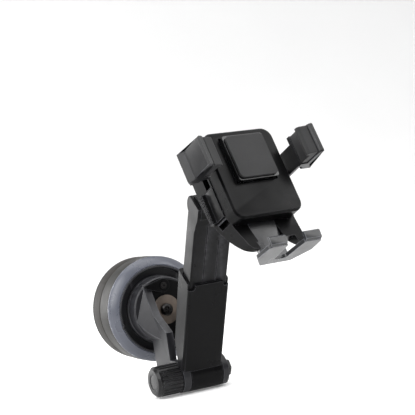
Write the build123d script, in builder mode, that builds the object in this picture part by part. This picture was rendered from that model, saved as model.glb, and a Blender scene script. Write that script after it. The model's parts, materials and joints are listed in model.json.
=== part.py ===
"""Windscreen phone mount: suction base, hinged telescopic arm, ball joint and spring-clamp cradle.

Frame: the suction face lies in the plane Y = 0 with its centre at the origin, the object stands
out towards -Y, +Z is up and the arm's hinge runs along X. All sizes are in millimetres.
"""
from build123d import *
from math import cos, radians, sin
import os

os.makedirs("parts", exist_ok=True)

# ---- driving dimensions -------------------------------------------------------------------
CUP_R = 37.4            # suction cup and base
CUP_DEPTH = 15.6
GEL_T = 1.4
BASE_FRONT = 30.4
RING_R = 37.9
RING_IN_R = 31.4
RING_FRONT = 38.3
RING_PIN_R = 33.4

LIP_IN_R = 29.9         # raised lip inside the ring
LIP_OUT_R = 31.1
SCREW_RING_R = 21.5     # seat screws

DRUM_R = 23.4           # swivelling yoke
DRUM_FRONT = 46.5
PLATE_T = 1.4
POST_FRONT = DRUM_FRONT + PLATE_T + 0.03
POST_R = 7.0
POST_GAP = 0.3
EAR_LEFT = (-14.4, -9.2)
EAR_RIGHT = (15.6, 19.6)

HINGE_Y = -84.7         # hinge of the arm
HINGE_Z = -43.2
EAR_END_R = 10.9
KNUCKLE_R = 11.0
BOLT_R = 2.5
BOLT_IN = -27.0
KNOB_R = 10.5
KNOB_OUT = -33.0
BOLT_OUT = 24.9
KNUCKLE_LEFT = -8.6
KNUCKLE_RIGHT = EAR_RIGHT[0] - 0.6

ARM_LEAN = 28.0         # telescopic arm, measured along the arm from the hinge
SLEEVE_W = 30.2
SLEEVE_FRONT = 7.4
SLEEVE_TOP = 75.0
SLEEVE_WALL = 2.0
ARM_W = 27.2
ARM_FRONT = 4.6
ARM_BACK = 7.5
ARM_BOTTOM = 44.0
ARM_TRAVEL = 30.0       # from rest down to the bottom of the sleeve
ARM_FRONT_END = 118.0   # where the front face starts to flare into the head
HEAD_BOTTOM = 124.5
HEAD_REAR = 4.8
CHEEK_T = 2.2
ARM_GROOVES = (0.34, 0.676)         # across the front face, as shares of its width
DETENT_LOW = 50.0
DETENT_L = 28.0
DETENT_STEP = 8.0
DETENT_COUNT = 6
SLIDE_GAP = 0.2

BALL_S = 142.0          # ball centre, along the arm and in front of it
BALL_N = 12.0
BALL_R = 8.0
LINER_T = 0.9
STUD_PIN_S = 14.4       # from the ball centre back to the pin that holds the stud
SOCKET_REAR = 3.6
NUT_REAR = 5.4

CRADLE_YAW = 10.3       # attitude of the cradle
CRADLE_LEAN = 25.7
CRADLE_ROLL = -1.0

REST_Z = 43.0           # cradle heights are measured from the ball centre
SHELL_REAR = 11.0
SHELL_SPLIT = 28.0
SHELL_FRONT = 38.0
SHELL_HALF = 27.0
SHELL_TOP = 27.0
SHELL_LOW = -33.0
TAIL_HALF = 21.0
WALL = 2.0
HOUSING_SCREWS = [(-20.5, 21.0), (20.5, 21.0), (-18.0, -27.5), (18.0, -27.5)]
SOCKET_SCREW_R = 15.6   # radius of the ring of socket screws
PHONE_HALF = 35.5       # half of the gap between the jaws
PHONE_T = 7.7
LIP_Z = REST_Z + PHONE_T + 0.2
JAW_Y = 6.0             # also the height of the trigger, the racks and the pinion
JAW_H = 20.6
JAW_OUT = 45.0
JAW_IN = 40.4
JAW_REAR = 34.0
JAW_FRONT = 56.8
TAIL_END = -52.0
SEAT_Y = -57.4
FOOT_X = -3.0
FOOT_T = 2.4
STEM_HALF = 10.0
STEM_Z = (26.2, 28.6)
PINION_Z = 22.0
PINION_H = 4.0
RACK_GAP = 6.1          # from the pinion's centre to the near face of a rack
RACK_H = 3.8
CLAMP_SPRING_Y = 13.4   # from the pinion's centre to either clamp spring
RELEASE_Y = -15.5       # centre of the two release keys


def unit(x, y, z):
    """Unit vector along (x, y, z)."""
    return Vector(x, y, z).normalized()


def save(piece, name):
    """Label a finished piece and write its STEP file."""
    piece.part.label = name
    export_step(piece.part, f"parts/{name}.step")


# ---- frames -------------------------------------------------------------------------------
hinge = Vector(0, HINGE_Y, HINGE_Z)
arm_up = unit(0, -sin(radians(ARM_LEAN)), cos(radians(ARM_LEAN)))
arm_fwd = unit(0, -cos(radians(ARM_LEAN)), -sin(radians(ARM_LEAN)))
arm_side = Plane(origin=hinge, x_dir=arm_up, z_dir=(1, 0, 0))       # sketch in (along, front)


def arm_cross(along):
    """Plane square to the arm; its sketch is in (X, back)."""
    return Plane(origin=hinge + arm_up * along, x_dir=(1, 0, 0), z_dir=arm_up)


yaw, lean, roll = (radians(a) for a in (CRADLE_YAW, CRADLE_LEAN, CRADLE_ROLL))
ball = hinge + arm_up * BALL_S + arm_fwd * BALL_N
cradle_out = unit(sin(yaw) * cos(lean), -cos(yaw) * cos(lean), sin(lean))
level = unit(cos(yaw), sin(yaw), 0)
steep = cradle_out.cross(level)
cradle_x = level * cos(roll) + steep * sin(roll)
cradle_y = cradle_out.cross(cradle_x)
cradle = Plane(origin=ball, x_dir=cradle_x, z_dir=cradle_out)
cradle_side = Plane(origin=ball, x_dir=cradle_y, z_dir=cradle_x)     # sketch in (Y, Z)
cradle_end = Plane(origin=ball, x_dir=cradle_x, z_dir=cradle_y * -1)  # sketch in (X, Z)
stud_dir = unit(0, -cos(lean), sin(lean))
stud = Plane(origin=ball, x_dir=(1, 0, 0), z_dir=stud_dir)


def turned(points):
    """Solid of revolution about the base axis from (radius, depth) points, depth towards -Y."""
    with BuildPart() as body:
        with BuildSketch(Plane.XY):
            with BuildLine():
                Polyline(*[(r, -d) for r, d in points], close=True)
            make_face()
        revolve(axis=Axis.Y)
    return body.part


# ---- suction base -------------------------------------------------------------------------
with BuildPart() as gel_pad:
    add(turned([(0, 0), (CUP_R - 0.8, 0), (CUP_R - 0.2, 0.6), (CUP_R - 0.2, GEL_T), (0, GEL_T)]))
save(gel_pad, "gel_pad")

with BuildPart() as suction_cup:
    add(turned([(0, GEL_T), (CUP_R - 0.6, GEL_T), (CUP_R, 3), (CUP_R, CUP_DEPTH - 1.2), (CUP_R - 1, CUP_DEPTH),
                (33, CUP_DEPTH), (31, 8.5), (16, 8.5), (13, 12.0), (13, 18.5),
                (4.3, 18.5), (4.3, 12.6), (9.4, 12.6), (9.4, 5.6), (0, 5.6)]))
save(suction_cup, "suction_cup")

with BuildPart() as base_shell:
    add(turned([(37.0, CUP_DEPTH + 0.5), (RING_R, CUP_DEPTH + 1.3), (RING_R, BASE_FRONT), (POST_R, BASE_FRONT),
                (POST_R, POST_FRONT), (0, POST_FRONT), (0, 28.2), (34.9, 28.2), (34.9, CUP_DEPTH + 0.5)]))
    with BuildSketch(Plane.XZ.offset(BASE_FRONT)):
        for start in (0, 120, 240):
            with BuildLine():
                outer = CenterArc((0, 0), RING_PIN_R + 1.3, start, 78)
                inner = CenterArc((0, 0), RING_PIN_R - 1.3, start, 78)
                Line(outer @ 0, inner @ 0)
                Line(outer @ 1, inner @ 1)
            make_face()
    extrude(amount=3, both=True, mode=Mode.SUBTRACT)
    with BuildSketch(Plane.XZ.offset(POST_FRONT)):
        Circle(1.7)
    extrude(amount=-15, mode=Mode.SUBTRACT)
    with BuildSketch(Plane.XZ.offset(BASE_FRONT)):
        with PolarLocations(SCREW_RING_R, 3, start_angle=30):
            Circle(1.3)
    extrude(amount=-3, mode=Mode.SUBTRACT)
save(base_shell, "base_shell")

with BuildPart() as twist_ring:
    add(turned([(RING_R - 0.5, BASE_FRONT + 0.3), (RING_R, BASE_FRONT + 0.8), (RING_R, BASE_FRONT + 1.9),
                (36.2, BASE_FRONT + 4.6), (34.0, BASE_FRONT + 6.6), (32.3, RING_FRONT), (RING_IN_R, RING_FRONT),
                (RING_IN_R, BASE_FRONT + 0.3)]))
    with BuildSketch(Plane.XZ.offset(BASE_FRONT + 1.0)):
        for start in (4, 124, 244):
            with PolarLocations(RING_PIN_R, 1, start_angle=start):
                Circle(1.1)
    extrude(amount=-7.0)
save(twist_ring, "twist_ring")

with BuildPart() as lift_cam:
    add(turned([(3.98, 19.5), (8.5, 19.5), (8.5, 22.6), (34.6, 22.6), (34.6, 25.4), (3.98, 25.4)]))
    with BuildSketch(Plane.XZ.offset(25.4)):
        for start in (4, 124, 244):
            with PolarLocations(RING_PIN_R, 1, start_angle=start):
                Circle(1.1)
    extrude(amount=-3, mode=Mode.SUBTRACT)
save(lift_cam, "lift_cam")

with BuildPart() as pull_rod:
    add(turned([(0, 6.4), (9.0, 6.4), (9.0, 9.6), (3.9, 9.6), (3.9, 24.6), (3.4, 25.1), (0, 25.1)]))
save(pull_rod, "pull_rod")

with BuildPart() as swivel_seat:
    add(turned([(POST_R + POST_GAP, BASE_FRONT), (LIP_OUT_R, BASE_FRONT), (LIP_OUT_R, RING_FRONT),
                (LIP_OUT_R - 0.4, RING_FRONT + 0.4), (LIP_IN_R + 0.3, RING_FRONT + 0.4), (LIP_IN_R, RING_FRONT),
                (LIP_IN_R, 33.4), (POST_R + POST_GAP, 33.4)]))
    with BuildSketch(Plane.XZ.offset(RING_FRONT + 0.3)):
        with PolarLocations(LIP_OUT_R, 1, start_angle=196):
            Circle(1.3)
    extrude(amount=1.1)
    fillet(swivel_seat.faces().sort_by(Axis.Y)[0].edges(), 0.8)
    with BuildSketch(Plane.XZ.offset(33.4)):
        with PolarLocations(SCREW_RING_R, 3, start_angle=30):
            Circle(1.5)
    extrude(amount=-3.0, mode=Mode.SUBTRACT)
    with BuildSketch(Plane.XZ.offset(33.4)):
        with PolarLocations(SCREW_RING_R, 3, start_angle=30):
            Circle(2.6)
    extrude(amount=-1.4, mode=Mode.SUBTRACT)
save(swivel_seat, "swivel_seat")

with BuildPart() as seat_screws:
    with BuildSketch(Plane.XZ.offset(33.2)):
        with PolarLocations(SCREW_RING_R, 3, start_angle=30):
            Circle(2.5)
    extrude(amount=-1.2)
    with BuildSketch(Plane.XZ.offset(33.2)):
        with PolarLocations(SCREW_RING_R, 3, start_angle=30):
            Circle(1.25)
    extrude(amount=-4.9)
save(seat_screws, "seat_screws")

# ---- yoke and its pivot -------------------------------------------------------------------
ear_top = (-45.0, 20.0)
ear_bend = (-58.0, -2.0)
ear_points = [(-38.0, 19.0), ear_top, ear_bend, (-75.2, -13.0), (-75.4, HINGE_Z + EAR_END_R),
              (HINGE_Y, HINGE_Z + EAR_END_R)]
ear_low = [(HINGE_Y, HINGE_Z - EAR_END_R), (-58.0, -47.0), (-51.0, -38.0), (-50.0, -18.0), (-38.0, -19.0)]


def buttress(ear_face, side):
    """Sloped web from the outer face of an ear down to the rim of the drum."""
    rim = Vector(side * DRUM_R, -DRUM_FRONT + 1, -6)
    inner = ear_face - side * 0.5
    high = Vector(inner, *ear_top)
    slope = Plane(origin=rim, z_dir=(high - rim).cross(Vector(inner, *ear_bend) - rim) * side)
    with BuildPart() as web:
        with BuildSketch(Plane.XZ.offset(DRUM_FRONT - 4)):
            Circle(DRUM_R - 0.3)
            with Locations((ear_face - side * (DRUM_R * 2 + 0.4), 0)):
                Rectangle(DRUM_R * 4, DRUM_R * 3, mode=Mode.SUBTRACT)
        extrude(amount=30)
        with BuildSketch(slope):
            Rectangle(DRUM_R * 6, DRUM_R * 6)
        extrude(amount=DRUM_R * 2, mode=Mode.SUBTRACT)
    return web.part


with BuildPart() as yoke:
    add(turned([(POST_R + POST_GAP, 33.7), (DRUM_R + 1, 33.7), (DRUM_R + 1, 35.4), (DRUM_R + 0.6, 35.9),
                (DRUM_R, 36.1), (DRUM_R, DRUM_FRONT - 0.8), (DRUM_R - 0.8, DRUM_FRONT),
                (POST_R + POST_GAP, DRUM_FRONT), (POST_R + POST_GAP, DRUM_FRONT - 3),
                (DRUM_R - 3, DRUM_FRONT - 3), (DRUM_R - 3, 36.5), (POST_R + POST_GAP, 36.5)]))
    for ear_face, side in ((EAR_LEFT[0], -1), (EAR_RIGHT[1], 1)):
        add(buttress(ear_face, side))
    for left, right in (EAR_LEFT, EAR_RIGHT):
        with BuildSketch(Plane.YZ.offset(left)):
            with BuildLine():
                Polyline(*ear_points)
                ThreePointArc(ear_points[-1], (HINGE_Y - EAR_END_R, HINGE_Z), ear_low[0])
                Polyline(*ear_low, ear_points[0])
            make_face()
        extrude(amount=right - left)
    with BuildSketch(Plane.YZ.offset(EAR_LEFT[0] - 1)):
        with Locations((HINGE_Y, HINGE_Z)):
            Circle(BOLT_R + 0.05)
    extrude(amount=40, mode=Mode.SUBTRACT)
save(yoke, "yoke")

with BuildPart() as swivel_plate:
    with BuildSketch(Plane.XZ.offset(DRUM_FRONT)):
        Circle(DRUM_R - 1.8)
        with Locations(((EAR_LEFT[1] + EAR_RIGHT[0]) / 2, 0)):
            Rectangle(EAR_RIGHT[0] - EAR_LEFT[1] - 0.3, 60, mode=Mode.INTERSECT)
        Circle(POST_R + POST_GAP, mode=Mode.SUBTRACT)
    extrude(amount=PLATE_T)
save(swivel_plate, "swivel_plate")

with BuildPart() as pivot_washer:
    with BuildSketch(Plane.XZ.offset(DRUM_FRONT + PLATE_T + 0.05)):
        Circle(10.4)
        Rectangle(18.0, 24.0, mode=Mode.INTERSECT)
        Circle(2.4, mode=Mode.SUBTRACT)
    extrude(amount=1.3)
save(pivot_washer, "pivot_washer")

with BuildPart() as pivot_screw:
    add(turned([(0, 34.0), (1.6, 35.0), (1.6, 49.28), (4.3, 49.28), (4.3, 50.6), (3.2, 51.9), (1.6, 52.4),
                (0, 52.4)]))
    with BuildSketch(Plane.XZ.offset(52.5)):
        Rectangle(4.6, 0.9)
        Rectangle(0.9, 4.6)
    extrude(amount=-1.6, mode=Mode.SUBTRACT)
save(pivot_screw, "pivot_screw")

tab_x, tab_z, tab_r = -0.2, 17.4, 5.0
tab_top = (tab_x - 1.4, tab_z + tab_r - 0.2)
tab_low = (tab_x - 1.4, tab_z - tab_r + 0.2)

with BuildPart() as stop_tab:
    with BuildSketch(Plane.XZ.offset(DRUM_FRONT + PLATE_T)):
        with BuildLine():
            ThreePointArc(tab_top, (tab_x + tab_r, tab_z), tab_low)
            Polyline(tab_low, (EAR_LEFT[0], 17.2), (EAR_LEFT[0], 19.0), tab_top)
        make_face()
    extrude(amount=1.6)
    with BuildSketch(Plane.XZ.offset(DRUM_FRONT + PLATE_T + 1.6)):
        with Locations((tab_x, tab_z)):
            Circle(1.1)
    extrude(amount=-2, mode=Mode.SUBTRACT)
save(stop_tab, "stop_tab")

with BuildPart() as tab_screw:
    with BuildSketch(Plane.XZ.offset(DRUM_FRONT + PLATE_T + 1.6)):
        with Locations((tab_x, tab_z)):
            Circle(2.3)
    extrude(amount=1.1)
    with BuildSketch(Plane.XZ.offset(DRUM_FRONT + PLATE_T + 1.6)):
        with Locations((tab_x, tab_z)):
            Circle(1.05)
    extrude(amount=-1.5)
    with BuildSketch(Plane.XZ.offset(DRUM_FRONT + PLATE_T + 2.7)):
        with Locations((tab_x, tab_z)):
            RegularPolygon(1.1, 6)
    extrude(amount=-0.9, mode=Mode.SUBTRACT)
save(tab_screw, "tab_screw")

# ---- hinge --------------------------------------------------------------------------------
hinge_yz = Plane(origin=hinge, x_dir=(0, 1, 0), z_dir=(1, 0, 0))

with BuildPart() as hinge_bolt:
    with BuildSketch(hinge_yz.offset(BOLT_IN)):
        Circle(BOLT_R)
    extrude(amount=EAR_RIGHT[1] + 0.3 - BOLT_IN)
    with BuildSketch(hinge_yz.offset(EAR_RIGHT[1] + 0.3)):
        Circle(8.0)
    extrude(amount=1.4)
    with BuildSketch(hinge_yz.offset(EAR_RIGHT[1] + 1.7)):
        RegularPolygon(6.2, 6)
    extrude(amount=BOLT_OUT - EAR_RIGHT[1] - 1.7)
    fillet(hinge_bolt.faces().sort_by(Axis.X)[-1].edges(), 1.8)
save(hinge_bolt, "hinge_bolt")

with BuildPart() as hinge_washers:
    for start in (EAR_LEFT[0] - 0.52, EAR_LEFT[1] + 0.03, EAR_RIGHT[0] - 0.52):
        with BuildSketch(hinge_yz.offset(start)):
            Circle(6.6)
            Circle(BOLT_R + 0.05, mode=Mode.SUBTRACT)
        extrude(amount=0.48)
save(hinge_washers, "hinge_washers")

with BuildPart() as knob:
    with BuildSketch(hinge_yz.offset(KNOB_OUT)):
        Circle(KNOB_R)
    extrude(amount=EAR_LEFT[0] - 0.6 - KNOB_OUT)
    chamfer(knob.faces().sort_by(Axis.X)[0].edges(), 1.8)
    with BuildSketch(hinge_yz.offset(KNOB_OUT + 3.6)):
        with PolarLocations(KNOB_R + 0.15, 24):
            Circle(0.85)
    extrude(amount=20, mode=Mode.SUBTRACT)
    with BuildSketch(hinge_yz.offset(KNOB_OUT)):
        Circle(5.2)
    extrude(amount=1.2, mode=Mode.SUBTRACT)
    with BuildSketch(hinge_yz.offset(-28.0)):
        Circle(BOLT_R + 0.3)
    extrude(amount=14, mode=Mode.SUBTRACT)
    with BuildSketch(hinge_yz.offset(-24.0)):
        RegularPolygon(4.6, 6)
    extrude(amount=6.0, mode=Mode.SUBTRACT)
save(knob, "knob")

with BuildPart() as knob_nut:
    with BuildSketch(hinge_yz.offset(-24.0)):
        RegularPolygon(4.6, 6)
        Circle(BOLT_R + 0.05, mode=Mode.SUBTRACT)
    extrude(amount=6.0)
save(knob_nut, "knob_nut")

with BuildPart() as knob_cap:
    with BuildSketch(hinge_yz.offset(KNOB_OUT + 1.2)):
        Circle(5.1)
    extrude(amount=-0.9)
    fillet(knob_cap.faces().sort_by(Axis.X)[0].edges(), 0.4)
save(knob_cap, "knob_cap")

# ---- telescopic arm -----------------------------------------------------------------------
# Below its rear corner the sleeve is cut away diagonally, and so is the lower end of the arm inside.
sleeve_low = (8.5, 1.5)
sleeve_corner = (29.0, -9.2)
sleeve_mouth = (SLEEVE_TOP + 4.5, -11.6)
cut_slope = (sleeve_corner[1] - sleeve_low[1]) / (sleeve_corner[0] - sleeve_low[0])


def along_cut(along, inset):
    """Height above the arm's axis of the diagonal cut, moved towards the front by inset."""
    return sleeve_low[1] + cut_slope * (along - sleeve_low[0]) + inset


def cut_end(inset, back):
    """Distance along the arm at which the diagonal cut meets a rear wall."""
    return sleeve_low[0] + (-back - inset - sleeve_low[1]) / cut_slope


with BuildPart() as outer_sleeve:
    with BuildSketch(arm_side.offset(-SLEEVE_W / 2)):
        with BuildLine():
            Polyline((7.8, SLEEVE_FRONT), (SLEEVE_TOP, ARM_FRONT + SLIDE_GAP + 1.4), sleeve_mouth,
                     sleeve_corner, sleeve_low, close=True)
        make_face()
    extrude(amount=SLEEVE_W)
    fillet(outer_sleeve.edges().filter_by(Axis.X, reverse=True).filter_by(lambda e: e.length > 45), 2.0)
    with BuildSketch(arm_side.offset(KNUCKLE_LEFT)):
        Circle(KNUCKLE_R)
    extrude(amount=KNUCKLE_RIGHT - KNUCKLE_LEFT)
    with BuildSketch(arm_side.offset(KNUCKLE_LEFT)):
        Circle(KNUCKLE_R + 0.25)
    extrude(amount=-SLEEVE_W, mode=Mode.SUBTRACT)
    cavity_low = ARM_BOTTOM - ARM_TRAVEL - 1.5
    cavity_inset = SLEEVE_WALL + 0.3
    cavity_back = ARM_BACK + SLIDE_GAP
    with BuildSketch(arm_side.offset(-ARM_W / 2 - SLIDE_GAP)):
        with BuildLine():
            Polyline((cavity_low, ARM_FRONT + SLIDE_GAP), (SLEEVE_TOP + 15, ARM_FRONT + SLIDE_GAP),
                     (SLEEVE_TOP + 15, -cavity_back), (cut_end(cavity_inset, cavity_back), -cavity_back),
                     (cavity_low, along_cut(cavity_low, cavity_inset)), close=True)
        make_face()
    extrude(amount=ARM_W + 2 * SLIDE_GAP, mode=Mode.SUBTRACT)
    with BuildSketch(arm_side.offset(-20)):
        Circle(BOLT_R + 0.05)
    extrude(amount=40, mode=Mode.SUBTRACT)
    with BuildSketch(Plane(origin=hinge + arm_fwd * 9, x_dir=(1, 0, 0), z_dir=arm_fwd)):
        for side in (-1, 1):
            with BuildLine():
                Polyline((side * 10.2, SLEEVE_TOP + 2), (side * 10.2, SLEEVE_TOP - 2.2),
                         (side * 11.4, SLEEVE_TOP - 3.4), (side * SLEEVE_W, SLEEVE_TOP - 3.4),
                         (side * SLEEVE_W, SLEEVE_TOP + 2), close=True)
            make_face()
    extrude(amount=ARM_FRONT - 9 - 0.8, mode=Mode.SUBTRACT)
    with BuildSketch(arm_cross(DETENT_LOW - 1)):
        with Locations((0, ARM_BACK + SLIDE_GAP + 0.6)):
            Rectangle(8.4, 1.3)
    extrude(amount=DETENT_L + 2, mode=Mode.SUBTRACT)
save(outer_sleeve, "outer_sleeve")

with BuildPart() as detent_spring:
    with BuildSketch(arm_cross(DETENT_LOW)):
        with Locations((0, ARM_BACK + 1.1)):
            Rectangle(7.8, 0.5)
    extrude(amount=DETENT_L)
    with BuildSketch(arm_cross(DETENT_LOW + 20.5)):
        with Locations((0, ARM_BACK + 0.5)):
            Rectangle(5.0, 0.8)
    extrude(amount=3)
save(detent_spring, "detent_spring")

with BuildPart() as inner_arm:
    arm_inset = cavity_inset + 0.4 - cut_slope * ARM_TRAVEL
    with BuildSketch(arm_side.offset(-ARM_W / 2)):
        with BuildLine():
            Polyline((HEAD_BOTTOM, 6.4), (ARM_FRONT_END, ARM_FRONT), (ARM_BOTTOM, ARM_FRONT),
                     (ARM_BOTTOM, along_cut(ARM_BOTTOM, arm_inset)), (cut_end(arm_inset, ARM_BACK), -ARM_BACK),
                     (126.0, -ARM_BACK))
            ThreePointArc((126.0, -ARM_BACK), (130.8, -9.1), (135.7, -7.0))
            Polyline((135.7, -7.0), (131.8, 6.8), (HEAD_BOTTOM, 6.4))
        make_face()
    extrude(amount=ARM_W)
    fillet(inner_arm.edges().filter_by(Axis(hinge, arm_up)), 1.2)
    with BuildSketch(arm_cross(ARM_BOTTOM)):
        with Locations((0, (ARM_BACK - ARM_FRONT) / 2)):
            Rectangle(ARM_W - 3.4, ARM_FRONT + ARM_BACK - 3.4)
    extrude(amount=ARM_FRONT_END - ARM_BOTTOM - 2, mode=Mode.SUBTRACT)
    with BuildSketch(arm_side.offset(-ARM_W / 2 + CHEEK_T)):
        with BuildLine():
            Polyline((HEAD_BOTTOM, -HEAD_REAR), (140.0, -HEAD_REAR), (140.0, 10.0), (HEAD_BOTTOM, 10.0),
                     close=True)
        make_face()
    extrude(amount=ARM_W - 2 * CHEEK_T, mode=Mode.SUBTRACT)
    for groove in ARM_GROOVES:
        with BuildSketch(arm_cross(ARM_BOTTOM)):
            with Locations((ARM_W * (groove - 0.5), -ARM_FRONT)):
                Rectangle(0.7, 0.8)
        extrude(amount=ARM_FRONT_END - ARM_BOTTOM, mode=Mode.SUBTRACT)
    for step in range(DETENT_COUNT):
        with BuildSketch(arm_cross(DETENT_LOW + 12.2 + DETENT_STEP * step)):
            with Locations((0, ARM_BACK)):
                Rectangle(6.0, 1.0)
        extrude(amount=3.6, mode=Mode.SUBTRACT)
save(inner_arm, "inner_arm")

stud_pin_plane = Plane(origin=ball - stud_dir * STUD_PIN_S, x_dir=(0, 1, 0), z_dir=(1, 0, 0))

with BuildPart() as head_block:
    with BuildSketch(arm_side.offset(-ARM_W / 2 + CHEEK_T + 0.1)):
        with BuildLine():
            Polyline((133.0, 7.3), (HEAD_BOTTOM + 0.1, 7.3), (HEAD_BOTTOM + 0.1, -HEAD_REAR + 0.1),
                     (136.2, -HEAD_REAR + 0.1))
            ThreePointArc((136.2, -HEAD_REAR + 0.1), (135.9, 2.0), (133.0, 7.3))
        make_face()
    extrude(amount=ARM_W - 2 * CHEEK_T - 0.2)
    with BuildSketch(stud.offset(-10.6)):
        Circle(4.9)
    extrude(amount=-5, taper=-6)
    with BuildSketch(stud.offset(-9)):
        Circle(3.95)
    extrude(amount=-7.9, mode=Mode.SUBTRACT)
    with BuildSketch(stud_pin_plane.offset(-11)):
        Circle(1.2)
    extrude(amount=22, mode=Mode.SUBTRACT)
save(head_block, "head_block")

with BuildPart() as ball_stud:
    with Locations(stud.location):
        Sphere(BALL_R)
    with BuildSketch(stud.offset(-16.8)):
        Circle(3.9)
    extrude(amount=12)
    with BuildSketch(stud_pin_plane.offset(-11)):
        Circle(1.2)
    extrude(amount=22, mode=Mode.SUBTRACT)
save(ball_stud, "ball_stud")

with BuildPart() as stud_pin:
    with BuildSketch(stud_pin_plane.offset(-10.8)):
        Circle(1.18)
    extrude(amount=21.6)
save(stud_pin, "stud_pin")

# ---- ball joint ---------------------------------------------------------------------------
liner_in = BALL_R + 0.1
liner_mid = liner_in + LINER_T
for name, low, high in (("ball_liner_inner", liner_in, liner_mid - 0.1), ("ball_liner_outer", liner_mid, 9.9)):
    with BuildPart() as liner:
        with Locations(cradle.location):
            Sphere(high)
            Sphere(low, mode=Mode.SUBTRACT)
        with BuildSketch(cradle.offset(0.2 - SOCKET_REAR)):
            Circle(12)
        extrude(amount=-10, mode=Mode.SUBTRACT)
        with BuildSketch(cradle.offset(7.0)):
            Circle(12)
        extrude(amount=10, mode=Mode.SUBTRACT)
    save(liner, name)

with BuildPart() as socket:
    with BuildSketch(cradle.offset(-SOCKET_REAR)):
        Circle(13.2)
    extrude(amount=SHELL_REAR + SOCKET_REAR)
    with BuildSketch(cradle.offset(SHELL_REAR - 3)):
        Circle(18.0)
    extrude(amount=3)
    with Locations(cradle.location):
        Sphere(10.0, mode=Mode.SUBTRACT)
    with BuildSketch(cradle.offset(-SOCKET_REAR)):
        Rectangle(30, 1.2)
        Rectangle(1.2, 30)
    extrude(amount=8, mode=Mode.SUBTRACT)
    with BuildSketch(cradle.offset(SHELL_REAR)):
        with PolarLocations(SOCKET_SCREW_R, 3, start_angle=90):
            Circle(1.0)
    extrude(amount=-2.6, mode=Mode.SUBTRACT)
save(socket, "socket")

with BuildPart() as ring_nut:
    with BuildSketch(cradle.offset(-NUT_REAR)):
        Circle(15.0)
        Circle(10.2, mode=Mode.SUBTRACT)
    extrude(amount=NUT_REAR + 7.4)
    chamfer(ring_nut.faces().sort_by(Axis(ball, cradle_out))[0].outer_wire().edges(), 1.2)
    with BuildSketch(cradle.offset(-SOCKET_REAR - 0.2)):
        Circle(13.4)
    extrude(amount=20, mode=Mode.SUBTRACT)
    with BuildSketch(cradle.offset(-NUT_REAR)):
        with PolarLocations(15.4, 20):
            Circle(1.1)
    extrude(amount=NUT_REAR + 7.4, mode=Mode.SUBTRACT)
save(ring_nut, "ring_nut")

# ---- cradle housing -----------------------------------------------------------------------
def housing_outline(half, top, low):
    """Front outline of the housing block with its corners rounded."""
    with BuildSketch() as outline:
        with BuildLine():
            FilletPolyline((-half, top), (half, top), (half, low), (-half, low), radius=7, close=True)
        make_face()
    return outline.sketch


with BuildPart() as rear_shell:
    with BuildSketch(cradle_side.offset(-SHELL_HALF)):
        with BuildLine():
            Polyline((-57.0, 36.0), (-50.0, 33.0), (-40.0, 30.0), (SHELL_LOW, SHELL_SPLIT),
                     (SHELL_TOP, SHELL_SPLIT), (SHELL_TOP, 15.0), (SHELL_TOP - 3.5, SHELL_REAR),
                     (-18.0, SHELL_REAR))
            ThreePointArc((-18.0, SHELL_REAR), (-39.5, 18.6), (-57.0, 36.0))
        make_face()
    extrude(amount=2 * SHELL_HALF)
    with BuildSketch(cradle.offset(SHELL_REAR)):
        with BuildLine():
            FilletPolyline((-SHELL_HALF, SHELL_TOP), (SHELL_HALF, SHELL_TOP), (SHELL_HALF, -14),
                           (TAIL_HALF, TAIL_END), (-TAIL_HALF, TAIL_END), (-SHELL_HALF, -14), radius=5,
                           close=True)
        make_face()
        with Locations((0, TAIL_END)):
            Rectangle(30.0, 11.0, mode=Mode.SUBTRACT)
    extrude(amount=40, mode=Mode.INTERSECT)
    with BuildSketch(cradle_side.offset(-SHELL_HALF + WALL)):
        with BuildLine():
            Polyline((25.0, 28.1), (25.0, 15.8), (22.6, 13.0), (-15.0, 13.0), (-30.5, 17.5), (-30.5, 28.1),
                     close=True)
        make_face()
    extrude(amount=2 * (SHELL_HALF - WALL), mode=Mode.SUBTRACT)
    with BuildSketch(cradle.offset(13.0)):
        with Locations(*HOUSING_SCREWS):
            Circle(3.2)
        with Locations((-16.2, RELEASE_Y), (16.2, RELEASE_Y)):
            Rectangle(1.6, 7)
    extrude(amount=14.8)
    with BuildSketch(cradle.offset(13.0)):
        with Locations((-2.0, JAW_Y + CLAMP_SPRING_Y), (2.0, JAW_Y - CLAMP_SPRING_Y)):
            Rectangle(1.6, 4)
    extrude(amount=7.0)
    with BuildSketch(cradle.offset(SHELL_REAR)):
        with Locations(*HOUSING_SCREWS):
            Circle(1.3)
        with PolarLocations(SOCKET_SCREW_R, 3, start_angle=90):
            Circle(1.0)
        with Locations((0, JAW_Y)):
            Circle(1.5)
    extrude(amount=20, mode=Mode.SUBTRACT)
    with BuildSketch(cradle.offset(SHELL_REAR - 1)):
        with Locations(*HOUSING_SCREWS[:2]):
            Circle(2.6)
    extrude(amount=3.2, mode=Mode.SUBTRACT)
    with BuildSketch(cradle.offset(SHELL_REAR - 1)):
        with Locations(*HOUSING_SCREWS[2:]):
            Circle(2.6)
    extrude(amount=7.2, mode=Mode.SUBTRACT)
    with BuildSketch(cradle.offset(21.6)):
        with Locations((-26, JAW_Y), (26, JAW_Y)):
            Rectangle(4, 21)
    extrude(amount=5.0, mode=Mode.SUBTRACT)
    with BuildSketch(cradle.offset(14.6)):
        with Locations((-25.8, RELEASE_Y), (25.8, RELEASE_Y)):
            Rectangle(8.4, 20.2)
    extrude(amount=14, mode=Mode.SUBTRACT)
    with BuildSketch(cradle.offset(STEM_Z[0] - 0.2)):
        with Locations((FOOT_X, -40)):
            Rectangle(2 * STEM_HALF + 0.6, 22)
    extrude(amount=8, mode=Mode.SUBTRACT)
save(rear_shell, "rear_shell")

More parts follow.
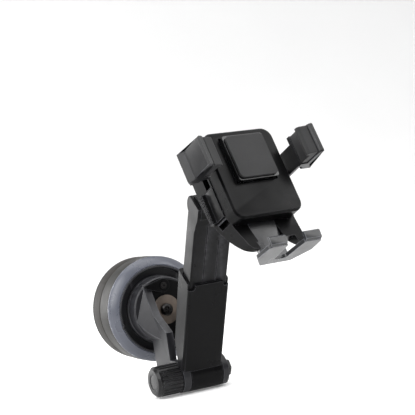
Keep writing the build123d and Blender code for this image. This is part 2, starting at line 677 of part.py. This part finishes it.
with BuildPart() as front_shell:
    with BuildSketch(cradle.offset(SHELL_SPLIT + 0.1)):
        add(housing_outline(SHELL_HALF - 0.5, SHELL_TOP - 0.5, SHELL_LOW))
    extrude(amount=SHELL_FRONT - SHELL_SPLIT - 0.1)
    chamfer(front_shell.faces().sort_by(Axis(ball, cradle_out))[-1].edges(), 1.2)
    with BuildSketch(cradle.offset(SHELL_SPLIT)):
        add(housing_outline(SHELL_HALF - 0.5 - WALL, SHELL_TOP - 0.5 - WALL, SHELL_LOW + WALL))
    extrude(amount=8, mode=Mode.SUBTRACT)
    with BuildSketch(cradle.offset(SHELL_SPLIT)):
        with Locations((0, JAW_Y)):
            Rectangle(32, 32)
    extrude(amount=12, mode=Mode.SUBTRACT)
    with BuildSketch(cradle.offset(STEM_Z[0])):
        with Locations((FOOT_X, SHELL_LOW)):
            Rectangle(2 * STEM_HALF + 0.6, 8)
    extrude(amount=STEM_Z[1] - STEM_Z[0] + 0.2, mode=Mode.SUBTRACT)
    with BuildSketch(cradle.offset(SHELL_SPLIT + 0.1)):
        with Locations(*HOUSING_SCREWS):
            Circle(3.2)
            Circle(1.2, mode=Mode.SUBTRACT)
    extrude(amount=8.0)
save(front_shell, "front_shell")

with BuildPart() as shell_screws:
    for spots, seat in ((HOUSING_SCREWS[:2], 13.2), (HOUSING_SCREWS[2:], 17.2)):
        with BuildSketch(cradle.offset(seat)):
            with Locations(*spots):
                Circle(2.4)
        extrude(amount=-1.6)
        with BuildSketch(cradle.offset(seat)):
            with Locations(*spots):
                Circle(1.15)
        extrude(amount=33.0 - seat)
        with BuildSketch(cradle.offset(seat - 1.6)):
            with Locations(*spots):
                Rectangle(2.8, 0.7)
                Rectangle(0.7, 2.8)
        extrude(amount=0.8, mode=Mode.SUBTRACT)
save(shell_screws, "shell_screws")

with BuildPart() as socket_screws:
    with BuildSketch(cradle.offset(13.0)):
        with PolarLocations(SOCKET_SCREW_R, 3, start_angle=90):
            Circle(2.0)
    extrude(amount=1.2)
    with BuildSketch(cradle.offset(13.0)):
        with PolarLocations(SOCKET_SCREW_R, 3, start_angle=90):
            Circle(0.95)
    extrude(amount=-4.4)
save(socket_screws, "socket_screws")

# ---- clamp --------------------------------------------------------------------------------
with BuildPart() as pinion:
    with BuildSketch(cradle.offset(PINION_Z)):
        with Locations((0, JAW_Y)):
            Circle(4.7)
            with PolarLocations(5.2, 12):
                Rectangle(1.2, 1.3)
            Circle(1.55, mode=Mode.SUBTRACT)
    extrude(amount=PINION_H)
save(pinion, "pinion")

with BuildPart() as pinion_axle:
    with BuildSketch(cradle.offset(SHELL_REAR + 0.4)):
        with Locations((0, JAW_Y)):
            Circle(1.48)
    extrude(amount=15.8)
save(pinion_axle, "pinion_axle")

with BuildPart() as gear_cover:
    with BuildSketch(cradle.offset(26.7)):
        with Locations((0, JAW_Y)):
            Rectangle(46, 19)
        with Locations((0, JAW_Y)):
            Circle(1.5, mode=Mode.SUBTRACT)
    extrude(amount=1.0)
save(gear_cover, "gear_cover")

jaw_points = [(47.2, JAW_REAR), (39.6, JAW_REAR), (39.6, 37.0), (35.4, 38.6), (35.4, 41.4), (JAW_IN, 41.4),
              (JAW_IN, JAW_FRONT - 2.2), (JAW_IN + 1, JAW_FRONT - 0.4), (JAW_OUT - 1.1, JAW_FRONT),
              (JAW_OUT, JAW_FRONT - 1.4), (JAW_OUT, 39.0), (48.0, JAW_REAR + 0.9)]

for name, side in (("left_jaw", -1), ("right_jaw", 1)):
    rack_y = JAW_Y - side * (RACK_GAP + RACK_H / 2)
    with BuildPart() as jaw:
        with BuildSketch(cradle_end.offset(-JAW_Y - JAW_H / 2)):
            with BuildLine():
                Polyline(*[(side * x, z) for x, z in jaw_points], close=True)
            make_face()
        extrude(amount=JAW_H)
        outer_edges = jaw.edges().filter_by(lambda e: abs((e.center() - ball).dot(cradle_x)) > JAW_OUT - 1)
        chamfer(outer_edges.filter_by(lambda e: e.length > 12).filter_by(cradle_end), 1.0)
        with BuildSketch(cradle_end.offset(-JAW_Y - JAW_H / 2 + (0.5 if side < 0 else 4.9))):
            with Locations((side * 36.4, 31.5)):
                Rectangle(2.0, 19.0)
        extrude(amount=15.2)
        with BuildSketch(cradle.offset(PINION_Z)):
            with Locations((side * 10.0, rack_y)):
                Rectangle(52, RACK_H)
            for tooth in range(16):
                with Locations((side * (-14 + 2.6 * tooth), rack_y + side * RACK_H / 2)):
                    Rectangle(1.3, 1.2, mode=Mode.SUBTRACT)
        extrude(amount=PINION_H)
    save(jaw, name)
    with BuildPart() as pad:
        with BuildSketch(cradle_end.offset(-JAW_Y - JAW_H / 2 + 0.6)):
            with BuildLine():
                Polyline((side * PHONE_HALF, 41.5), (side * (JAW_IN - 0.1), 41.5),
                         (side * (JAW_IN - 0.1), LIP_Z + 4.4), (side * 34.2, LIP_Z + 3.6),
                         (side * 32.6, LIP_Z + 2.2), (side * 32.6, LIP_Z + 0.4), (side * PHONE_HALF, LIP_Z),
                         close=True)
            make_face()
        extrude(amount=JAW_H - 1.2)
    save(pad, name + "_pad")

with BuildPart() as clamp_springs:
    for side in (-1, 1):
        spring_end = cradle.from_local_coords(Vector(side * 3, JAW_Y - side * CLAMP_SPRING_Y, 18.0))
        with BuildSketch(Plane(origin=spring_end, x_dir=cradle_y, z_dir=cradle_x * side)):
            Circle(1.7)
            Circle(1.1, mode=Mode.SUBTRACT)
        extrude(amount=11)
save(clamp_springs, "clamp_springs")

for name, side in (("left_release", -1), ("right_release", 1)):
    with BuildPart() as release:
        with BuildSketch(cradle_end.offset(5.6)):
            with BuildLine():
                Polyline((side * 24.6, 27.8), (side * 27.2, 27.8), (side * 27.2, 19.6), (side * 30.0, 18.6),
                         (side * 30.0, 15.6), (side * 27.6, 14.9), (side * 24.6, 14.9), close=True)
            make_face()
        extrude(amount=19.8)
        for rib in range(10):
            with BuildSketch(cradle_end.offset(6.5 + 1.9 * rib)):
                with Locations((side * 30.1, 17)):
                    Rectangle(1.4, 6)
            extrude(amount=0.8, mode=Mode.SUBTRACT)
        with BuildSketch(cradle_end.offset(4.6)):
            with Locations((side * 24.0, 22.4)):
                Rectangle(1.3, 10.6)
        extrude(amount=21.8)
        with BuildSketch(cradle_side.offset(side * 23.3)):
            with Locations((RELEASE_Y, 21.0)):
                Circle(2.3)
        extrude(amount=side * 2.4, mode=Mode.SUBTRACT)
    save(release, name)

with BuildPart() as release_springs:
    for side in (-1, 1):
        with BuildSketch(Plane(origin=cradle.from_local_coords(Vector(side * 17.1, RELEASE_Y, 21.0)),
                               x_dir=cradle_y, z_dir=cradle_x * side)):
            Circle(2.0)
            Circle(1.4, mode=Mode.SUBTRACT)
        extrude(amount=6.1)
save(release_springs, "release_springs")

# ---- trigger and foot ---------------------------------------------------------------------
with BuildPart() as trigger:
    with BuildSketch(cradle.offset(34.0)):
        with Locations((0, JAW_Y)):
            Rectangle(34, 34)
    extrude(amount=1.8)
    with BuildSketch(cradle.offset(35.6)):
        with Locations((0, JAW_Y)):
            RectangleRounded(31.2, 31.2, 2)
    extrude(amount=5.8)
    with BuildSketch(cradle.offset(34.0)):
        with Locations((0, JAW_Y)):
            Circle(4.5)
    extrude(amount=3.9, mode=Mode.SUBTRACT)
save(trigger, "trigger")

with BuildPart() as trigger_pad:
    with BuildSketch(cradle.offset(41.4)):
        with Locations((0, JAW_Y)):
            RectangleRounded(29, 29, 3)
    extrude(amount=REST_Z - 41.4)
save(trigger_pad, "trigger_pad")

with BuildPart() as trigger_spring:
    with BuildSketch(cradle.offset(27.8)):
        with Locations((0, JAW_Y)):
            Circle(4.0)
            Circle(3.3, mode=Mode.SUBTRACT)
    extrude(amount=6.1)
save(trigger_spring, "trigger_spring")

foot_points = [(-20.0, 51.0), (-21.0, 37.5), (-12.0, 25.6), (12.0, 25.6), (21.0, 37.5), (20.0, 51.0)]
notch_points = [(-7.2, 58.0), (-4.6, 31.0), (4.6, 31.0), (7.2, 58.0)]
hook_points = [(SEAT_Y, 46.5), (SEAT_Y - FOOT_T, 46.5), (SEAT_Y - FOOT_T, 49.6), (-58.4, 52.7), (-54.0, 52.9),
               (-53.2, 52.2), (-53.2, LIP_Z + 0.4), (-56.0, LIP_Z + 0.1), (SEAT_Y, LIP_Z)]

with BuildPart() as foot:
    with BuildSketch(cradle_end.offset(-SEAT_Y)):
        with BuildLine():
            FilletPolyline(*[(FOOT_X + x, z) for x, z in foot_points], radius=2.0, close=True)
        make_face()
        with BuildLine():
            FilletPolyline(*[(FOOT_X + x, z) for x, z in notch_points], radius=2.5, close=True)
        make_face(mode=Mode.SUBTRACT)
    extrude(amount=FOOT_T)
    for start in (-19.4, 7.2):
        with BuildSketch(cradle_side.offset(FOOT_X + start)):
            with BuildLine():
                Polyline(*hook_points, close=True)
            make_face()
        extrude(amount=12.2)
    with BuildSketch(cradle.offset(STEM_Z[0])):
        with Locations((FOOT_X, (SEAT_Y - 2 - 14) / 2)):
            Rectangle(2 * STEM_HALF, -SEAT_Y + 2 - 14)
    extrude(amount=STEM_Z[1] - STEM_Z[0])
save(foot, "foot")

with BuildPart() as foot_pads:
    with BuildSketch(cradle_end.offset(-SEAT_Y)):
        with Locations((FOOT_X - 13.3, 42.5), (FOOT_X + 13.3, 42.5)):
            RectangleRounded(9.6, 13, 2)
    extrude(amount=-0.6)
save(foot_pads, "foot_pads")
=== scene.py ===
"""Looks of the windscreen phone mount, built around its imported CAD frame. Metres, +Z up."""
import json
import math

import bmesh
import bpy
from mathutils import Matrix, Vector


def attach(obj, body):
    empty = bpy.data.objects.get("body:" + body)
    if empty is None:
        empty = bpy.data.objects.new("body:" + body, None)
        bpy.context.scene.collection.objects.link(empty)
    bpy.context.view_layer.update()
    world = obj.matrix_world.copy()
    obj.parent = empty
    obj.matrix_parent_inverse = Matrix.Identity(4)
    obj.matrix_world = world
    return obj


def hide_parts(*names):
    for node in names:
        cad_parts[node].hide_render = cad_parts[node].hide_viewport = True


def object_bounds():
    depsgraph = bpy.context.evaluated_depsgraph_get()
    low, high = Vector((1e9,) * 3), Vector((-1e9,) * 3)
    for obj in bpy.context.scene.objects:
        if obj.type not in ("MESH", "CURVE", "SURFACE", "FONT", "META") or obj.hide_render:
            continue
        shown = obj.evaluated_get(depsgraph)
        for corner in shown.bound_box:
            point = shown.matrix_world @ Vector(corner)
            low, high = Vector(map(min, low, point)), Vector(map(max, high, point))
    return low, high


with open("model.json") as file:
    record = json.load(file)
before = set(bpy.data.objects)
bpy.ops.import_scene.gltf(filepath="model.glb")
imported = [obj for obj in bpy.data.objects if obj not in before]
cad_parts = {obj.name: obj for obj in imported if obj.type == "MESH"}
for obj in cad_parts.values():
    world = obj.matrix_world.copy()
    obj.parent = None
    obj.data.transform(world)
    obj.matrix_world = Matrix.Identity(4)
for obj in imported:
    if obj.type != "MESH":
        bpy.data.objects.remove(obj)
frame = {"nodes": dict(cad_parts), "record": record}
cad_low, cad_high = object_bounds()
MM = 0.001
WHITE = (1, 1, 1, 1)


# ---- materials ----------------------------------------------------------------------------
def set_span(node, low, high, out_low, out_high):
    """Limits of a Map Range node."""
    for key, number in (("From Min", low), ("From Max", high), ("To Min", out_low), ("To Max", out_high)):
        node.inputs[key].default_value = number


class Nodes:
    """Small helper around one material's node tree."""

    def __init__(self, name):
        self.material = bpy.data.materials.new(name)
        self.material.use_nodes = True
        self.tree = self.material.node_tree
        self.shader = self.tree.nodes["Principled BSDF"]
        self.coords = self.add("ShaderNodeTexCoord").outputs["Object"]

    def add(self, kind, **values):
        node = self.tree.nodes.new(kind)
        for key, value in values.items():
            setattr(node, key, value)
        return node

    def link(self, a, b):
        self.tree.links.new(a, b)

    def noise(self, scale, detail, roughness=0.5, coords=None):
        node = self.add("ShaderNodeTexNoise")
        node.inputs["Scale"].default_value = scale
        node.inputs["Detail"].default_value = detail
        node.inputs["Roughness"].default_value = roughness
        self.link(coords or self.coords, node.inputs["Vector"])
        return node.outputs["Fac"]

    def span(self, value, low, high, out_low, out_high):
        node = self.add("ShaderNodeMapRange")
        set_span(node, low, high, out_low, out_high)
        self.link(value, node.inputs["Value"])
        return node.outputs["Result"]

    def product(self, a, b):
        node = self.add("ShaderNodeMath", operation="MULTIPLY")
        self.link(a, node.inputs[0])
        self.link(b, node.inputs[1])
        return node.outputs[0]

    def blend(self, fac, a, b):
        node = self.add("ShaderNodeMix", data_type="RGBA")
        self.link(fac, node.inputs["Factor"])
        for socket, value in ((node.inputs[6], a), (node.inputs[7], b)):
            if isinstance(value, tuple):
                socket.default_value = (*value, 1)
            else:
                self.link(value, socket)
        return node.outputs[2]

    def edge(self, radius):
        """0 on open faces and towards 1 where two faces meet within the radius."""
        bevel = self.add("ShaderNodeBevel", samples=6)
        bevel.inputs["Radius"].default_value = radius
        geometry = self.add("ShaderNodeNewGeometry")
        dot = self.add("ShaderNodeVectorMath", operation="DOT_PRODUCT")
        self.link(bevel.outputs["Normal"], dot.inputs[0])
        self.link(geometry.outputs["True Normal"], dot.inputs[1])
        return self.span(dot.outputs["Value"], 0.995, 0.9, 0, 1)

    def bump(self, height, strength, distance):
        node = self.add("ShaderNodeBump")
        node.inputs["Strength"].default_value = strength
        node.inputs["Distance"].default_value = distance
        self.link(height, node.inputs["Height"])
        return node.outputs["Normal"]


EDGE_HIGHLIGHT_RADIUS = 0.5 * MM      # how far the painted edge highlight reaches onto a face


def srgb(r, g, b):
    """Linear colour from 0 to 255 screen values."""
    return tuple(((c / 255 + 0.055) / 1.055) ** 2.4 if c > 10 else c / 255 / 12.92 for c in (r, g, b))


def plastic(name, colour, edge_highlight, rough, specular=0.1, grain=0.012 * MM, spread=0.07):
    """Moulded plastic with fine texture, slow tone changes and a painted highlight on its edges."""
    n = Nodes(name)
    tone = n.span(n.noise(24, 4), 0.3, 0.7, 0, 1)
    base = n.blend(tone, tuple(c * 0.82 for c in colour), colour)
    # painted highlight: edges are blended in patches towards the lighter second colour
    edge = n.product(n.edge(EDGE_HIGHLIGHT_RADIUS), n.span(n.noise(260, 3), 0.35, 0.7, 0.3, 0.8))
    n.link(n.blend(edge, base, edge_highlight), n.shader.inputs["Base Color"])
    sheen = n.span(n.noise(60, 5, 0.6), 0.3, 0.7, rough - spread, rough + spread)
    n.link(sheen, n.shader.inputs["Roughness"])
    n.shader.inputs["Specular IOR Level"].default_value = specular
    n.link(n.bump(n.noise(3600, 2), 0.55, grain), n.shader.inputs["Normal"])
    return n.material


def rubber(name, colour, rough, specular=0.35):
    """Matt rubber with dust in a slow pattern and a fine pitted surface."""
    n = Nodes(name)
    dust = n.span(n.noise(90, 6, 0.65), 0.42, 0.75, 0, 0.5)
    dusty = tuple(min(1, c * 1.9 + 0.004) for c in colour)
    n.link(n.blend(dust, colour, dusty), n.shader.inputs["Base Color"])
    n.link(n.span(n.noise(45, 4), 0.3, 0.7, rough - 0.07, rough + 0.07), n.shader.inputs["Roughness"])
    n.shader.inputs["Specular IOR Level"].default_value = specular
    n.link(n.bump(n.noise(2600, 3), 0.5, 0.02 * MM), n.shader.inputs["Normal"])
    return n.material


def metal(name, colour, rough):
    """Plain metal with fine scratches and slightly stained tone."""
    n = Nodes(name)
    stretch = n.add("ShaderNodeMapping")
    stretch.inputs["Scale"].default_value = (1, 1, 9)
    n.link(n.coords, stretch.inputs["Vector"])
    lines = n.noise(700, 4, 0.7, stretch.outputs[0])
    stain = n.span(n.noise(120, 4), 0.35, 0.65, 0, 1)
    n.link(n.blend(stain, tuple(c * 0.72 for c in colour), colour), n.shader.inputs["Base Color"])
    n.link(n.span(lines, 0.3, 0.7, rough - 0.08, rough + 0.1), n.shader.inputs["Roughness"])
    n.shader.inputs["Metallic"].default_value = 1.0
    n.link(n.bump(lines, 0.35, 0.01 * MM), n.shader.inputs["Normal"])
    return n.material


# the second colour of each plastic is its painted edge highlight
RING = plastic("ring_grey", srgb(78, 81, 91), srgb(186, 188, 198), 0.28, specular=0.45, spread=0.02)
BLACK = plastic("satin_black", srgb(11, 11, 12), srgb(88, 88, 92), 0.32, specular=0.08)
DARK = plastic("dark_satin", srgb(20, 20, 22), srgb(104, 105, 110), 0.34, specular=0.28)
# foot: a lighter copy of the black plastic, its colour a painted reflection of the light that shines in
# its hooks
FOOT_PAINTED_REFLECTION = plastic("foot_satin_painted_reflection", srgb(27, 28, 31), srgb(138, 140, 148), 0.3, specular=0.5)
GLOSS = plastic("gloss_black", srgb(14, 14, 15), srgb(60, 60, 64), 0.2, specular=0.4, grain=0.004 * MM)
YOKE = plastic("yoke_satin", srgb(34, 34, 37), srgb(110, 111, 116), 0.36, specular=0.25)
BASE = plastic("base_satin", srgb(38, 37, 35), srgb(96, 94, 92), 0.42)
KNOB = plastic("knob_satin", srgb(16, 16, 17), srgb(96, 96, 100), 0.3, specular=0.22)
ACETAL = plastic("acetal", srgb(214, 210, 200), srgb(235, 232, 225), 0.35, specular=0.5)
RUBBER = rubber("black_rubber", srgb(34, 34, 35), 0.62)
SKIRT = rubber("skirt_rubber", srgb(42, 40, 38), 0.55, specular=0.08)
GEL = rubber("gel_sheet", srgb(60, 60, 62), 0.3)
STEEL = metal("plain_steel", srgb(120, 110, 102), 0.4)
SCREW = metal("blackened_steel", srgb(52, 51, 51), 0.36)

# finish by material slot, and of the nodes that have one of their own (both grey_shell nodes do)
FINISH = {
    "black_shell": BLACK, "black_gloss": GLOSS, "rubber": RUBBER, "gel": GEL,
    "steel": STEEL, "black_screw": SCREW, "acetal": ACETAL,
}
OWN = {
    "twist_ring": RING, "base_shell": BASE, "suction_cup": SKIRT, "yoke": YOKE, "swivel_seat": YOKE,
    "left_jaw": DARK, "right_jaw": DARK, "foot": FOOT_PAINTED_REFLECTION, "knob": KNOB, "hinge_bolt": KNOB,
}
slots = {row["node"]: row["material_slot"] for row in frame["record"]["subparts"]}


def finish_of(node):
    """Material of a node: its own, or that of its slot."""
    return OWN.get(node) or FINISH[slots[node]]


# ---- refined copies of the CAD nodes -------------------------------------------------------
WELD = 0.001 * MM           # vertices closer than this are one
FLAT = math.radians(0.6)    # faces closer in angle than this are one flat face
SHARP = math.radians(32)    # edges that turn more than this are rounded
JAW_BLOCK = 39 * MM         # the jaws' gripping blocks lie further than this from the cradle's middle
SAME_LEVEL = 0.1 * MM       # vertices of one end of a block differ by less than this


def body_of(node):
    """Name of the body that a CAD node rides on."""
    for name, listed in frame["record"]["behaviour"]["bodies"].items():
        if node in listed:
            return name
    raise KeyError(node)


def round_pad(piece, width):
    """Wide rounding on the two ends of a jaw's gripping block, leaving its rack as it is."""
    joints = {row["name"]: row for row in frame["record"]["behaviour"]["joints"]}
    middle = Vector(joints["cradle_spin"]["pos_m"])
    across = Vector(joints["right_clamp"]["axis"])
    down = Vector(joints["foot_slide"]["axis"])
    block = {}
    for vertex in piece.data.vertices:
        offset = vertex.co - middle
        if abs(offset.dot(across)) > JAW_BLOCK:
            block[vertex.index] = offset.dot(down)
    ends = (min(block.values()), max(block.values()))
    weights = piece.data.attributes.new("bevel_weight_edge", "FLOAT", "EDGE")
    for edge in piece.data.edges:
        levels = [block.get(k) for k in edge.vertices]
        if None not in levels:
            on_end = any(max(abs(level - end) for level in levels) < SAME_LEVEL for end in ends)
            weights.data[edge.index].value = 1.0 if on_end else 0.0
    bevel = piece.modifiers.new("pad_round", "BEVEL")
    bevel.width = width
    bevel.segments = 4
    bevel.limit_method = "WEIGHT"
    bevel.use_clamp_overlap = False
    bevel.loop_slide = False


def refined(node, width, pad_width):
    """Copy of a node's mesh with clean faces, rounded edges and its finish; it stands for the node."""
    source = frame["nodes"][node]
    mesh = bpy.data.meshes.new(node + "_skin")
    work = bmesh.new()
    work.from_mesh(source.data)
    bmesh.ops.remove_doubles(work, verts=work.verts, dist=WELD)
    bmesh.ops.dissolve_limit(work, angle_limit=FLAT, verts=work.verts, edges=work.edges)
    work.to_mesh(mesh)
    work.free()
    piece = bpy.data.objects.new(node + "_skin", mesh)
    bpy.context.scene.collection.objects.link(piece)
    mesh.materials.append(finish_of(node))
    if pad_width:
        round_pad(piece, pad_width)
    bevel = piece.modifiers.new("round", "BEVEL")
    bevel.width = width
    bevel.segments = 2
    bevel.limit_method = "ANGLE"
    bevel.angle_limit = SHARP
    bevel.harden_normals = True
    bevel.use_clamp_overlap = True
    for face in mesh.polygons:
        face.use_smooth = True
    mesh.set_sharp_from_angle(angle=SHARP)
    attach(piece, body_of(node))
    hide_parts(node)


# edge rounding of each refined node in millimetres; the other nodes keep their CAD mesh
ROUNDING = {
    "gel_pad": 0.2, "suction_cup": 0.6, "base_shell": 0.3, "twist_ring": 0.25, "swivel_seat": 0.2,
    "yoke": 0.45, "swivel_plate": 0.15, "pivot_washer": 0.12, "pivot_screw": 0.15, "stop_tab": 0.3,
    "tab_screw": 0.15, "hinge_bolt": 0.15, "hinge_washers": 0.1, "knob": 0.35, "knob_cap": 0.1,
    "outer_sleeve": 0.3, "inner_arm": 0.25, "head_block": 0.3, "ball_stud": 0.2, "socket": 0.3,
    "ring_nut": 0.4, "rear_shell": 0.5, "front_shell": 0.4, "left_jaw": 0.5, "right_jaw": 0.5,
    "left_jaw_pad": 0.5, "right_jaw_pad": 0.5, "left_release": 0.2, "right_release": 0.2,
    "trigger": 0.4, "trigger_pad": 0.3, "foot": 0.5, "foot_pads": 0.2,
}
# rounding of the ends of the jaws' gripping blocks in millimetres
PAD_ROUNDING = {"left_jaw": 1.0, "right_jaw": 1.0}

for node, width in ROUNDING.items():
    refined(node, width * MM, PAD_ROUNDING.get(node, 0) * MM)

for node, obj in frame["nodes"].items():
    if node not in ROUNDING:
        obj.data.materials.clear()
        obj.data.materials.append(finish_of(node))


# ---- stage ----------------------------------------------------------------------------------
FLOOR_GAP = 0.6 * MM
FLOOR_NEAR = -0.5
FLOOR_FAR = 1.2
COVE_RADIUS = 0.8
COVE_STEPS = 12
WALL_TOP = 4.0
HALF_WIDTH = 4.0


def backdrop():
    """A pale floor that curves up into a pale wall far behind."""
    mesh = bpy.data.meshes.new("backdrop")
    work = bmesh.new()
    floor_z = cad_low.z - FLOOR_GAP
    profile = [(FLOOR_NEAR, floor_z), (FLOOR_FAR, floor_z)]
    for k in range(1, COVE_STEPS + 1):
        angle = math.pi / 2 * k / COVE_STEPS
        profile.append((
            FLOOR_FAR + COVE_RADIUS * math.sin(angle),
            floor_z + COVE_RADIUS * (1 - math.cos(angle)),
        ))
    profile.append((FLOOR_FAR + COVE_RADIUS, WALL_TOP))
    sides = [[work.verts.new((x, y, z)) for y, z in profile] for x in (-HALF_WIDTH, HALF_WIDTH)]
    for k in range(len(profile) - 1):
        work.faces.new((sides[0][k], sides[1][k], sides[1][k + 1], sides[0][k + 1]))
    work.to_mesh(mesh)
    work.free()
    for face in mesh.polygons:
        face.use_smooth = True
    obj = bpy.data.objects.new("backdrop", mesh)
    bpy.context.scene.collection.objects.link(obj)
    n = Nodes("backdrop_paper")
    n.link(n.blend(n.noise(6, 3), (0.90, 0.90, 0.90), (0.94, 0.94, 0.94)), n.shader.inputs["Base Color"])
    n.shader.inputs["Roughness"].default_value = 0.9
    n.shader.inputs["Specular IOR Level"].default_value = 0.1
    n.shader.inputs["Emission Color"].default_value = WHITE
    n.shader.inputs["Emission Strength"].default_value = 0.13
    mesh.materials.append(n.material)


def softbox(name, offset, size, power):
    """A rectangular soft light at an offset from the object's middle, aimed at that middle."""
    data = bpy.data.lights.new(name, "AREA")
    data.shape = "RECTANGLE"
    data.size, data.size_y = size
    data.energy = power
    centre = (cad_low + cad_high) / 2
    light = bpy.data.objects.new(name, data)
    light.location = centre + Vector(offset)
    light.rotation_euler = (centre - light.location).to_track_quat("-Z", "Y").to_euler()
    bpy.context.scene.collection.objects.link(light)


def studio_world():
    """Soft white surroundings behind and above the object, falling off to a dim room on the near side."""
    world = bpy.data.worlds.new("studio")
    world.use_nodes = True
    tree = world.node_tree
    direction = tree.nodes.new("ShaderNodeTexCoord")
    lean = tree.nodes.new("ShaderNodeVectorMath")
    lean.operation = "DOT_PRODUCT"
    lean.inputs[1].default_value = (-0.25, 0.9, 0.35)
    span = tree.nodes.new("ShaderNodeMapRange")
    span.interpolation_type = "SMOOTHSTEP"
    set_span(span, -0.75, 0.1, 0.22, 1.05)
    tree.links.new(direction.outputs["Generated"], lean.inputs[0])
    tree.links.new(lean.outputs["Value"], span.inputs["Value"])
    tree.links.new(span.outputs["Result"], tree.nodes["Background"].inputs["Strength"])
    tree.nodes["Background"].inputs["Color"].default_value = WHITE
    bpy.context.scene.world = world


backdrop()
softbox("key", (-1.1, -0.2, 0.75), (0.9, 1.2), 16)
softbox("left_rear", (-0.62, 1.1, 0.05), (0.8, 1.0), 11)
softbox("right_front", (1.05, -0.65, 0.95), (0.9, 0.9), 10)
softbox("top", (0.1, 0.1, 1.4), (1.4, 1.0), 10)
studio_world()
bpy.context.scene.view_settings.view_transform = "Standard"

# ---- camera ---------------------------------------------------------------------------------
CAMERA_PLACE = (-0.3912, -0.9476, 0.1032)
CAMERA_RIGHT = (0.889, -0.4356, -0.1411)
CAMERA_UP = (0.1428, -0.029, 0.9893)
CAMERA_BACK = (-0.435, -0.8997, 0.0364)

camera = bpy.data.objects.new("camera", bpy.data.cameras.new("camera"))
axes = Matrix((CAMERA_RIGHT, CAMERA_UP, CAMERA_BACK)).transposed().to_4x4()
camera.matrix_world = Matrix.Translation(CAMERA_PLACE) @ axes
camera.data.sensor_width = 36
camera.data.lens = 120.1
camera.data.clip_end = 50
bpy.context.scene.collection.objects.link(camera)
bpy.context.scene.camera = camera
